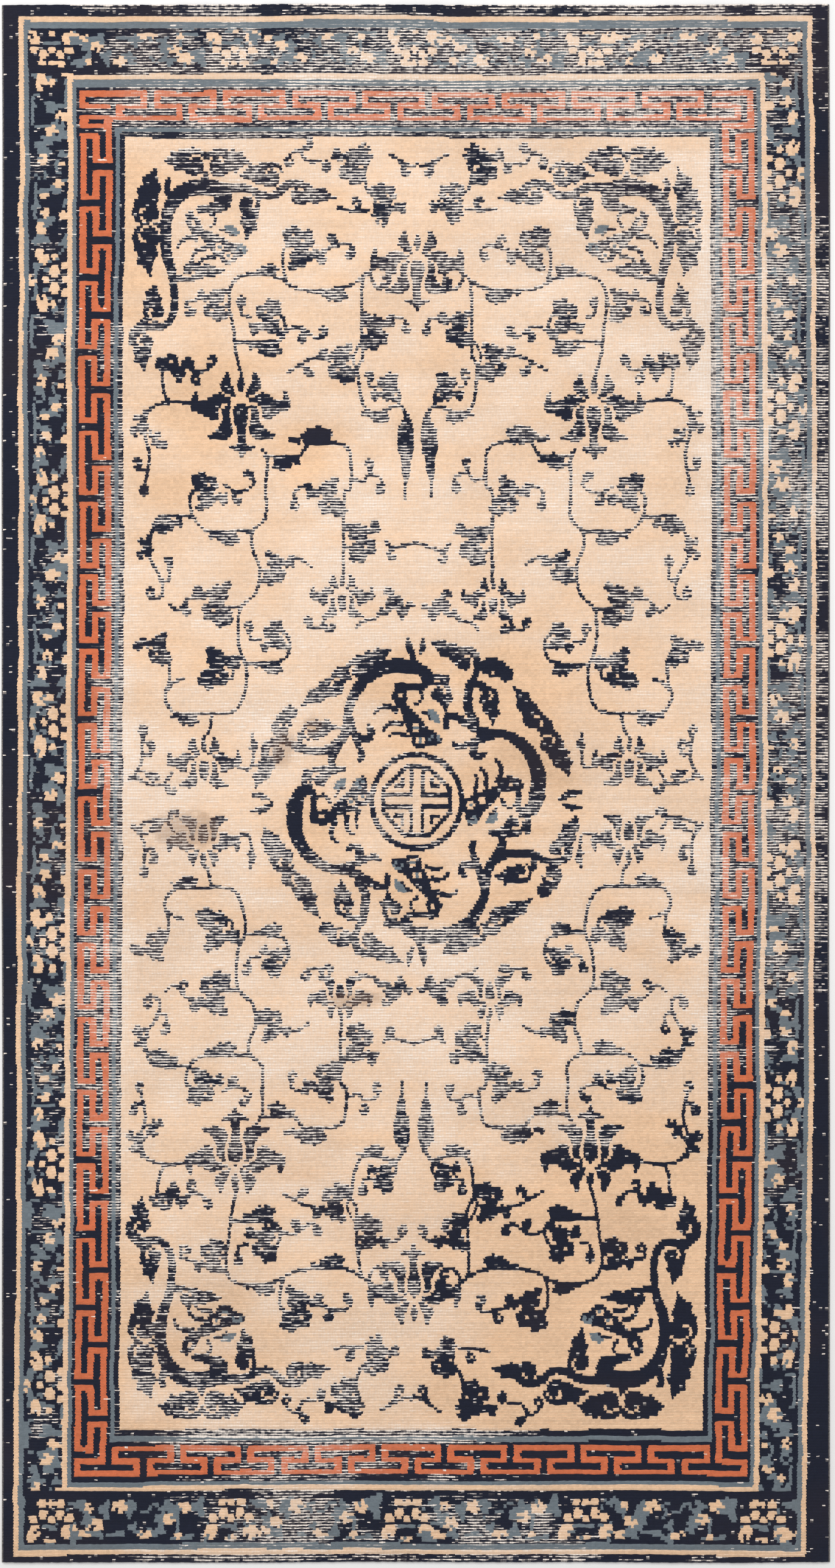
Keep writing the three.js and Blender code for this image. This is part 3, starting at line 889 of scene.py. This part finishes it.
# for every knot: share of cotton between the rows and over the knots, height, tone and stain
def wearOf(yarn):
    across, along = np.meshgrid(np.arange(rug["columns"]) + 0.5 - halfColumns,
                                np.arange(rug["rows"]) + 0.5 - halfRows)
    rows, columns = across.shape
    draws = np.random.default_rng(wear["seed"])

    def dashes(length, seed):  # a draw for every knot that runs on along its row
        lots = np.random.default_rng(seed).random((rows, columns + 4))
        place = (np.arange(columns) + 0.5) / length + np.random.default_rng(seed + 1).random((rows, 1))
        left, row = np.floor(place).astype(int), np.arange(rows)[:, None]
        f = smoothStep(place - left)
        return lots[row, left] * (1 - f) + lots[row, left + 1] * f

    def clip(values):
        return np.clip(values, 0, 1)

    worn = strayed(wear["usual"], across, along, wear["patches"])
    for x, y, rx, ry, amount in wear["places"]:
        worn += amount * np.exp(-0.7 * (((across - x) / rx) ** 2 + ((along - y) / ry) ** 2) ** 1.5)
    worn = np.clip(worn, 0, 1.15)
    loss = worn * np.array(wear["take"])[yarn]
    knotLot, rowLot = draws.random(yarn.shape), draws.random((rows, 1))
    (longShare, *longDashes), (shortShare, *shortDashes) = wear["longDashes"], wear["shortDashes"]
    lot = (longShare * dashes(*longDashes) + shortShare * dashes(*shortDashes) + wear["rowShare"] * rowLot
           + wear["knotShare"] * knotLot)
    # bare where the wear beats the draw, apart from the full knots, and here and there one lone lost knot
    bare = clip((loss * 1.25 - 0.06 - lot) * wear["sharpness"] + 0.5)
    bare *= (0.8 + 0.2 * knotLot) * (loss > 0.02)
    bare *= 1 - wear["fullKeeps"] * (draws.random(yarn.shape) < wear["fullKnots"])
    lost = draws.random(yarn.shape) < 0.018 + 0.07 * loss
    bare = np.maximum(bare, lost * wear["lostDepth"] * (yarn == navy))
    # pale lines between the rows of the paler yarns, and a few flecks
    lines = (0.06 + 0.62 * clip(worn) ** 1.5) * (0.45 + 1.1 * dashes(1.4, 57))
    lines = clip(lines + 0.3 * worn * (dashes(2.4, 59) > 0.84))
    lines = np.where(yarn == beige, lines, clip(2.2 * lines - 0.5) * clip(1.6 * worn - 0.4))
    between = np.where(yarn == navy, bare, np.maximum(bare * (yarn != beige), lines))
    between = np.maximum(between, 0.8 * (dashes(2.6, 65) > 0.985 - 0.07 * worn) * (yarn != beige))
    # cotton over the barest knots, and a thin veil of it over the paler yarns
    over = clip((loss - 0.8 - 0.4 * dashes(1.8, 55)) * 3) * 0.7
    over = np.maximum(over, 0.4 * bare * knotLot**4 * (yarn == navy))
    for paleYarn, amount, start in wear["over"]:
        over = np.maximum(over, amount * clip(worn - start) * (yarn == paleYarn))
    tone = wear["knotTone"] * (draws.random(yarn.shape) * 2 - 1) + wear["rowTone"] * (rowLot * 2 - 1)
    tone = strayed(tone, across, along, wear["tones"])
    gapTone = tone + wear["gapTone"] * (draws.random(yarn.shape) * 2 - 1)
    stain = wear["haze"] * clip(valueNoise(across, along, 26, 20, 64))
    for x, y, rx, ry, amount in wear["stains"]:
        edge = ((across - x) / rx) ** 2 + ((along - y) / ry) ** 2 + 0.5 * valueNoise(across, along, 3, 3, 63)
        stain = np.maximum(stain, amount * clip(1.6 - edge))
    pile = 1 - clip(loss) * wear["sunk"]
    return {"between": between, "over": over, "pile": pile, "tone": tone, "gapTone": gapTone, "stain": stain}


def paintChart():
    chart = newChart()
    plainBands(chart, 3, 3)
    flowerBorder(chart)
    plainBands(chart, 0, 2)
    plainBands(chart, 4, len(bands) - 1)
    keyFret(chart)
    fieldVines(chart)
    for side in (1, -1):
        for up in (1, -1):
            cornerDragon(chart, side, up)
    medallion(chart)
    return chart


knots, aside, upward = tieKnots(paintChart())
worn = wearOf(knots)
print("chart painted:", knots.shape)

rugSize = {  # metres
    "width": 1.6,
    "length": 3.012,
    "ground": 0.003,  # thickness of the cotton ground
    "pile": 0.004,
    "selvedge": 0.003,  # width of the flat edge outside the pile
    "selvedgeThickness": 0.0036,
    "edgeWander": 0.0012,
    # ripples at the top end: across, half width, rise, reach down from the end
    "ripples": [(-0.42, 0.11, 0.0045, 0.52), (-0.225, 0.095, 0.0035, 0.42), (0.02, 0.12, 0.004, 0.46),
                (0.56, 0.13, 0.003, 0.38)],
}


def lift(x, y):  # height of the ripples
    total = np.zeros(np.broadcast(x, y).shape)
    for across, halfWidth, rise, reach in rugSize["ripples"]:
        total += (rise * smoothStep(1 - np.abs(x - across) / halfWidth)
                  * smoothStep(1 - (rugSize["length"] / 2 - y) / reach))
    return total


def wander(along, phase):
    total = 0
    for halfWaves, share, shift in ((3, 0.6, 0.4), (7, 0.4, 1.9)):
        total = total + share * np.sin(halfWaves * math.pi * 0.5 * (along + 1) + shift + phase)
    return rugSize["edgeWander"] * total


def settle(x, y):  # places on the true rug, with its slightly uneven outline
    u, v = 2 * x / rugSize["width"], 2 * y / rugSize["length"]
    outX = x + u * np.abs(u) * np.where(u > 0, wander(v, 0), wander(v, 2.1))
    outY = y + v * np.abs(v) * np.where(v > 0, wander(u, 4.2), wander(u, 5.7))
    return outX, outY


def quadsOf(index):  # corners of every cell of a grid, counter-clockwise
    return np.stack([index[:-1, :-1], index[:-1, 1:], index[1:, 1:], index[1:, :-1]], -1).reshape(-1, 4)


def uvGrid(across, along):
    s, t = np.meshgrid(across, along)
    return np.stack([s, t], -1).reshape(-1, 2)


# a mesh from arrays: corners (n, 3), faces a list of corner lists, attributes one number for each face
def meshFromGrid(name, corners, faces, attributes, uv, material):
    mesh = bpy.data.meshes.new(name)
    counts = np.array([len(face) for face in faces])
    mesh.vertices.add(len(corners))
    mesh.vertices.foreach_set("co", corners.astype(np.float32).ravel())
    mesh.loops.add(int(counts.sum()))
    mesh.loops.foreach_set("vertex_index", np.concatenate(faces).astype(np.int32))
    mesh.polygons.add(len(counts))
    mesh.polygons.foreach_set("loop_start", (np.cumsum(counts) - counts).astype(np.int32))
    mesh.update(calc_edges=True)
    mesh.validate()
    mesh.shade_flat()
    for key, values in attributes.items():
        layer = mesh.attributes.new(key, "FLOAT", "FACE")
        layer.data.foreach_set("value", values.astype(np.float32))
    layer = mesh.uv_layers.new(name="OFBake")
    layer.data.foreach_set("uv", uv.astype(np.float32).ravel())
    thing = bpy.data.objects.new(name, mesh)
    bpy.context.scene.collection.objects.link(thing)
    mesh.materials.append(material)
    return thing


def toLinear(hexColour):
    values = [int(hexColour[k:k + 2], 16) / 255 for k in (1, 3, 5)]
    return tuple(v / 12.92 if v <= 0.04045 else ((v + 0.055) / 1.055) ** 2.4 for v in values) + (1,)


# adds a node: settings by property or socket name, links from socket name to another node's output
def addNode(material, kind, settings=None, links=None):
    node = material.node_tree.nodes.new("ShaderNode" + kind)
    for key, value in (settings or {}).items():
        if isinstance(key, str) and hasattr(node, key):
            setattr(node, key, value)
        else:
            node.inputs[key].default_value = value
    for key, output in (links or {}).items():
        material.node_tree.links.new(output, node.inputs[key])
    return node


def newMaterial(name):
    material = bpy.data.materials.new(name)
    material.use_nodes = True
    material.node_tree.nodes.clear()
    return material


def dyed(material, colours):  # the colour that stands at the number of the face's yarn
    share = 1 / len(colours)
    yarn = addNode(material, "Attribute", {"attribute_name": "yarn"})
    place = addNode(material, "Math", {"operation": "MULTIPLY_ADD", 1: share, 2: share / 2},
                    {0: yarn.outputs["Fac"]})
    dye = addNode(material, "ValToRGB", None, {0: place.outputs[0]})
    ramp = dye.color_ramp
    ramp.interpolation = "CONSTANT"
    ramp.elements.remove(ramp.elements[1])
    for k, colour in enumerate(colours):
        element = ramp.elements.new(k * share) if k else ramp.elements[0]
        element.color = toLinear(colour)
    return dye.outputs["Color"]


woolDyes = {
    "yarns": ["#1f2333", "#efc9a5", "#757f86", "#d87650"],  # navy, beige, slate and salmon
    "cotton": "#faeee3",
    "soil": "#7a5638",
    "fibre": 0.0022,  # metres, the tuft of one knot
    "tuftTone": (0.36, 0.82),  # how much the tufts differ, and their least brightness
    "bead": 0.2,  # how much more or less cotton shows beside and over a knot
    "beadStray": (60.0, 2),  # noise scale, and how far the beads stray in knots
    "roughness": 0.92,
}
columns, rows = rug["columns"], rug["rows"]
pitchX = (rugSize["width"] - 2 * rugSize["selvedge"]) / columns
pitchY = rugSize["length"] / rows


# hand-knotted wool pile: matt, each knot a little different, cotton showing where the pile has worn away
def woolPile():
    material = newMaterial("hand-knotted wool pile")
    dye = dyed(material, woolDyes["yarns"])
    # tone carries each knot's random tone and, on the gaps between the rows, painted shade
    tone, cotton, stain = [addNode(material, "Attribute", {"attribute_name": name}).outputs["Fac"]
                           for name in ("tone", "cotton", "stain")]
    coords = addNode(material, "TexCoord").outputs["Object"]
    tuft = addNode(material, "TexNoise", {"Scale": 1 / woolDyes["fibre"], "Detail": 2.0}, {"Vector": coords})
    spread, least = woolDyes["tuftTone"]
    tuftTone = addNode(material, "Math", {"operation": "MULTIPLY_ADD", 1: spread, 2: least},
                       {0: tuft.outputs["Fac"]})
    allTone = addNode(material, "Math", {"operation": "ADD"}, {0: tone, 1: tuftTone.outputs[0]})
    toned = addNode(material, "VectorMath", {"operation": "SCALE"}, {0: dye, "Scale": allTone.outputs[0]})
    # the cotton shows more between two knots than over their middles
    scale, reach = woolDyes["beadStray"]
    apart = addNode(material, "SeparateXYZ", None, {0: coords})
    stray = addNode(material, "TexNoise", {"Scale": scale, "Detail": 1.0}, {"Vector": coords})
    strayX = addNode(material, "Math", {"operation": "MULTIPLY_ADD", 1: reach * pitchX},
                     {0: stray.outputs["Fac"], 2: apart.outputs["X"]})
    turns = addNode(material, "Math", {"operation": "MULTIPLY", 1: 2 * math.pi / pitchX},
                    {0: strayX.outputs[0]})
    beads = addNode(material, "Math", {"operation": "COSINE"}, {0: turns.outputs[0]})
    share = addNode(material, "Math", {"operation": "MULTIPLY_ADD", 1: woolDyes["bead"], 2: 1.0},
                    {0: beads.outputs[0]})
    shown = addNode(material, "Math", {"operation": "MULTIPLY", "use_clamp": True},
                    {0: cotton, 1: share.outputs[0]})
    bare = addNode(material, "Mix", {"data_type": "RGBA", 7: toLinear(woolDyes["cotton"])},
                   {0: shown.outputs[0], 6: toned.outputs[0]})
    soiled = addNode(material, "Mix", {"data_type": "RGBA", 7: toLinear(woolDyes["soil"])},
                     {0: stain, 6: bare.outputs[2]})
    bump = addNode(material, "Bump", {"Strength": 0.35, "Distance": 0.0006}, {"Height": tuft.outputs["Fac"]})
    shader = addNode(material, "BsdfPrincipled",
                     {"Roughness": woolDyes["roughness"], "Specular IOR Level": 0.15, "Sheen Weight": 0.08,
                      "Sheen Roughness": 0.6},
                     {"Base Color": soiled.outputs[2], "Normal": bump.outputs[0]})
    addNode(material, "OutputMaterial", None, {"Surface": shader.outputs[0]})
    return material


pile = {
    "tilesAcross": 2,
    "tilesAlong": 4,
    "groove": 0.0010,  # how far the gap between two rows lies under their crests
    "sink": 0.0015,  # how far a tile reaches into the ground
    "stub": 0.0006,  # the least height of the wool
    "heightStray": 0.0003,
    "least": 0.0003,  # how high a gap stands over the ground at least
    "rowWave": 0.0016,  # how far a row strays along the rug
    "waves": [(0.7, 26, 14, 81), (0.45, 9, 5, 82)],  # share, reach across and along in knots, seed
    "flatEnds": 0.02,  # where the waves fade out towards the ends
    "seed": 71,
    # parts of a knot
    "stagger": 0.05,  # each second row
    "rowStray": 0.06,
    "knotStray": 0.07,
    "crestStray": 0.12,
    "crest": (0.8, 0.26),  # how far up its row the crest stands, and how much less where it is worn thin
    "comb": 0.13,  # how far dark crests stand over an edge and pale gaps cut into it
    "bright": [0, 3, 1, 2],  # order of the yarns from dark to pale
    "gapCotton": (1.7, 1.1),  # how strongly the cotton shows in the gaps of navy and of the other yarns
    # painted shade: how much darker the gap between two rows is painted where the pile is whole
    "gapPaintedShade": 0.04,
}
bakeMap = {"margin": 0.004, "top": 0.99, "walls": (0.9925, 0.9985), "floor": (0.0025, 0.0005)}


# three arrays (2 * rows + 1, columns + 1): x, y, z of every corner of the pile's top, gaps and crests in turn
def pileCorners():
    draws = np.random.default_rng(pile["seed"])

    def stray(amount, *shape):
        return draws.uniform(-amount, amount, shape)

    j = np.arange(columns + 1)[None, :]
    k = np.arange(2 * rows + 1) // 2
    ground, length = rugSize["ground"], rugSize["length"]
    rowShift = pile["stagger"] * (2 * (np.arange(rows + 1) % 2) - 1) + stray(pile["rowStray"], rows + 1)
    inner = np.clip(np.minimum(j, columns - j), 0, 1)
    bright = np.array(pile["bright"])[np.pad(knots, ((0, 0), (1, 1)), mode="edge")]
    darkLeft = np.clip(bright[:, 1:] - bright[:, :-1], -1, 1)  # dark yarn stands over the edge at each crest
    comb = np.zeros((2 * rows + 1, columns + 1))
    comb[1::2] = pile["comb"] * darkLeft
    comb[2:-1:2] = -0.5 * pile["comb"] * (darkLeft[1:] + darkLeft[:-1])
    comb[1::2] += stray(pile["knotStray"], rows, columns + 1) * np.abs(darkLeft)
    x = (j - columns / 2 + (aside[np.minimum(k, rows - 1)] + comb + rowShift[k][:, None]) * inner) * pitchX
    part = np.zeros((2 * rows + 1, columns + 1))
    full, less = pile["crest"]
    part[1::2] = full - less * betweenKnots(worn["between"]) + stray(pile["crestStray"], rows, columns + 1)
    part[0::2] += upward + stray(pile["knotStray"], rows + 1, columns + 1)
    part[1::2] += 0.3 * (upward[:-1] + upward[1:])
    base = (k[:, None] + part - rows / 2) * pitchY
    wave = pile["rowWave"] * strayed(0, x / pitchX, base / pitchY, pile["waves"])
    y = base + wave * np.clip(np.abs(length / 2 - np.abs(base)) / pile["flatEnds"], 0, 1)
    height = ground + pile["stub"] + (rugSize["pile"] - pile["stub"]) * worn["pile"]
    crest = betweenKnots(height + pile["heightStray"] * stray(1, rows, columns))
    lower = np.minimum(np.vstack([crest[:1], crest]), np.vstack([crest, crest[-1:]]))
    z = np.zeros((2 * rows + 1, columns + 1))
    z[1::2] = crest
    z[0::2] = lower - pile["groove"] * np.clip((lower - ground) / rugSize["pile"], 0.25, 1)
    x, y = settle(x, y)
    return x, y, np.maximum(z, ground + pile["least"]) + lift(x, y)


def makeTiles(wool):
    x, y, z = pileCorners()
    sources = {"yarn": knots.astype(float), "tone": worn["tone"], "stain": worn["stain"],
               "cotton": worn["over"]}
    perRow = {key: np.repeat(values, 2, 0) for key, values in sources.items()}  # crest and gap of each row
    perRow["cotton"][1::2] = np.clip(worn["between"] * np.where(knots == navy, *pile["gapCotton"]), 0, 1)
    # gaps between the rows: their random tone, made darker by painted shade in the groove where the pile is
    # whole
    perRow["tone"][1::2] = worn["gapTone"] - pile["gapPaintedShade"] * (1 - worn["between"])
    margin, (wallLow, wallHigh) = bakeMap["margin"], bakeMap["walls"]
    tiles = []
    for a in range(pile["tilesAcross"]):
        for b in range(pile["tilesAlong"]):
            j0, j1 = [k * columns // pile["tilesAcross"] for k in (a, a + 1)]
            i0, i1 = [2 * (k * rows // pile["tilesAlong"]) for k in (b, b + 1)]
            part = (slice(i0, i1 + 1), slice(j0, j1 + 1))
            top = np.stack([x[part], y[part], z[part]], -1)
            n, m = top.shape[:2]
            index = np.arange(n * m).reshape(n, m)
            quads = quadsOf(index)
            rim = np.concatenate([index[0, :], index[1:, -1], index[-1, -2::-1], index[-2:0:-1, 0]])
            foot = top.reshape(-1, 3)[rim]
            foot[:, 2] = rugSize["ground"] - pile["sink"] + lift(foot[:, 0], foot[:, 1])
            footIndex = n * m + np.arange(len(rim))
            walls = np.stack([footIndex, np.roll(footIndex, -1), np.roll(rim, -1), rim], -1)
            cell = np.arange((n - 1) * (m - 1)).reshape(n - 1, m - 1)
            wallCell = np.concatenate([cell[0], cell[:, -1], cell[-1, ::-1], cell[::-1, 0]])
            attributes = {}
            for key, values in perRow.items():
                inTile = values[i0:i1, j0:j1].ravel()
                attributes[key] = np.concatenate([inTile, inTile[wallCell], [0]])
            turn = np.linspace(margin, 1 - margin, len(rim) + 1)
            start, end, level = turn[:-1], turn[1:], np.ones(len(rim))
            uvWalls = np.stack([start, level * wallHigh, end, level * wallHigh, end, level * wallLow, start,
                                level * wallLow], -1)
            uvFloor = np.column_stack([start, np.resize(bakeMap["floor"], len(rim))])
            uvTop = uvGrid(np.linspace(margin, 1 - margin, m), np.linspace(margin, bakeMap["top"], n))
            tiles.append(meshFromGrid(
                f"pile_{'right' if a else 'left'}_{b + 1}", np.vstack([top.reshape(-1, 3), foot]),
                [*quads, *walls, footIndex[::-1]], attributes,
                np.concatenate([uvTop[quads.ravel()], uvWalls.reshape(-1, 2), uvFloor]), wool))
    return tiles


tiles = makeTiles(woolPile())
print("pile tiles made:", len(tiles))

groundCloth = {
    "selvedge": "#23252f",  # wrapped with navy wool
    "selvedgeRim": 0.7,  # of its thickness, at the very edge
    "cellsAlong": 272,
    "stripsAcross": 34,
    "fibreScale": 420.0,
    "faded": (0.5, -0.1),  # how the cotton shows between the knot backs
}


# plain-woven cotton ground; the back shows every knot as a small flat dot
def cottonGround():
    material = newMaterial("woven cotton ground with knot backs")
    dye = dyed(material, [*woolDyes["yarns"], groundCloth["selvedge"]])
    coords = addNode(material, "TexCoord").outputs["Object"]
    weave = addNode(material, "TexNoise", {"Scale": groundCloth["fibreScale"], "Detail": 2.0},
                    {"Vector": coords})
    spread, least = groundCloth["faded"]
    faded = addNode(material, "Math", {"operation": "MULTIPLY_ADD", 1: spread, 2: least},
                    {0: weave.outputs["Fac"]})
    mixed = addNode(material, "Mix", {"data_type": "RGBA", 7: toLinear(woolDyes["cotton"])},
                    {0: faded.outputs[0], 6: dye})
    bump = addNode(material, "Bump", {"Strength": 0.3, "Distance": 0.0005}, {"Height": weave.outputs["Fac"]})
    shader = addNode(material, "BsdfPrincipled", {"Roughness": 0.9, "Specular IOR Level": 0.15},
                     {"Base Color": mixed.outputs[2], "Normal": bump.outputs[0]})
    addNode(material, "OutputMaterial", None, {"Surface": shader.outputs[0]})
    return material


def makeGround(material):
    halfWidth, thick = rugSize["width"] / 2, rugSize["selvedgeThickness"]
    along = groundCloth["cellsAlong"]
    lengthwise = (np.arange(along + 1) / along - 0.5) * rugSize["length"]
    crosswise = np.concatenate([[-halfWidth], (np.arange(columns + 1) - columns / 2) * pitchX, [halfWidth]])
    step = columns // groundCloth["stripsAcross"]
    shared = np.concatenate([[0], 1 + np.arange(0, columns + 1, step), [columns + 2]])  # lines on both sides

    def sheet(places, rise):
        x, y = settle(*np.meshgrid(places, lengthwise))
        return np.stack([x, y, rise + lift(x, y)], -1)

    rise = np.full(len(shared), rugSize["ground"])
    rise[[1, -2]], rise[[0, -1]] = thick, thick * groundCloth["selvedgeRim"]
    low, high = sheet(crosswise, 0), sheet(crosswise[shared], rise)
    n, m, p = *low.shape[:2], high.shape[1]
    lowIndex = np.arange(n * m).reshape(n, m)
    highIndex = n * m + np.arange(n * p).reshape(n, p)
    under, over = quadsOf(lowIndex)[:, [0, 3, 2, 1]], quadsOf(highIndex)
    rest = []  # the faces round the edge
    for i in range(n - 1):
        rest.append([lowIndex[i + 1, 0], lowIndex[i, 0], highIndex[i, 0], highIndex[i + 1, 0]])
        rest.append([lowIndex[i, -1], lowIndex[i + 1, -1], highIndex[i + 1, -1], highIndex[i, -1]])
    for i, order in ((0, 1), (n - 1, -1)):
        for q in range(p - 1):
            below = lowIndex[i, shared[q]:shared[q + 1] + 1]
            rest.append([*below, highIndex[i, q + 1], highIndex[i, q]][::order])
    selvedge = len(woolDyes["yarns"])
    backs = np.pad(knots[::rows // along], ((0, 0), (1, 1)), constant_values=selvedge)
    yarn = np.concatenate([backs.ravel(), np.full(len(over) + len(rest), selvedge)])
    runs = np.linspace(0.003, 0.997, m), np.linspace(0.003, 0.997, n)
    uvAll = np.concatenate([uvGrid(runs[0], np.linspace(0.003, 0.94, n)),
                            uvGrid(np.linspace(0.945, 0.98, p), runs[1])[:, ::-1]])
    uv = [uvAll[under.ravel()], uvAll[over.ravel()]]
    slots = np.linspace(0.003, 0.997, len(rest) + 1)
    for face, start, end in zip(rest, slots, slots[1:]):
        angle = np.arange(len(face)) / len(face) * 2 * math.pi
        uv.append(np.stack([(start + end) / 2 + 0.4 * (end - start) * np.cos(angle),
                            0.99 + 0.004 * np.sin(angle)], -1))
    return meshFromGrid("ground_cloth", np.vstack([low.reshape(-1, 3), high.reshape(-1, 3)]),
                        [*under, *over, *rest], {"yarn": yarn}, np.concatenate(uv), material)


ground = makeGround(cottonGround())
print("ground made")

for piece in [ground, *tiles]:
    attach(piece, "root")
    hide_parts("rug")

studio = {
    "floor": "#fcfbfa",
    "floorSize": 60,
    "sky": 0.47,
    "lampPower": 247,
    "lampSize": 5,
    "lampPlace": (-1.2, 2.2, 5.5),
}
shotFrom = {
    "tall": 3.0319,  # metres of the rug's plane that the view takes in from end to end
    "lens": 142.5,
    "above": 0.007,  # height of that plane
    "aside": (0.0035, -0.0012),  # middle of the view from the rug's middle
}


def makeStudio():
    bpy.ops.object.select_all(action="DESELECT")
    bpy.ops.mesh.primitive_plane_add(size=studio["floorSize"], location=(0, 0, 0))
    floor = bpy.context.object
    floor.name = "floor"
    paint = newMaterial("matt white floor")
    shader = addNode(paint, "BsdfPrincipled", {"Base Color": toLinear(studio["floor"]), "Roughness": 0.9})
    addNode(paint, "OutputMaterial", None, {"Surface": shader.outputs[0]})
    floor.data.materials.append(paint)
    world = bpy.data.worlds.new("studio")
    bpy.context.scene.world = world
    world.use_nodes = True
    sky = world.node_tree.nodes["Background"]
    sky.inputs["Strength"].default_value = studio["sky"]
    sky.inputs["Color"].default_value = (1, 1, 1, 1)
    bpy.ops.object.light_add(type="AREA", location=studio["lampPlace"])
    lamp = bpy.context.object
    lamp.data.energy = studio["lampPower"]
    lamp.data.size = studio["lampSize"]
    x, y, z = studio["lampPlace"]
    lamp.rotation_euler = (math.atan2(-y, z), math.atan2(x, z), 0)
    bpy.context.scene.view_settings.view_transform = "Standard"


def makeCamera():
    data = bpy.data.cameras.new("camera")
    camera = bpy.data.objects.new("camera", data)
    bpy.context.scene.collection.objects.link(camera)
    data.lens = shotFrom["lens"]
    data.clip_end = 200
    distance = shotFrom["tall"] * data.lens / data.sensor_width
    camera.location = (*shotFrom["aside"], distance + shotFrom["above"])
    bpy.context.scene.camera = camera


makeStudio()
makeCamera()
print("floor, light and camera set")
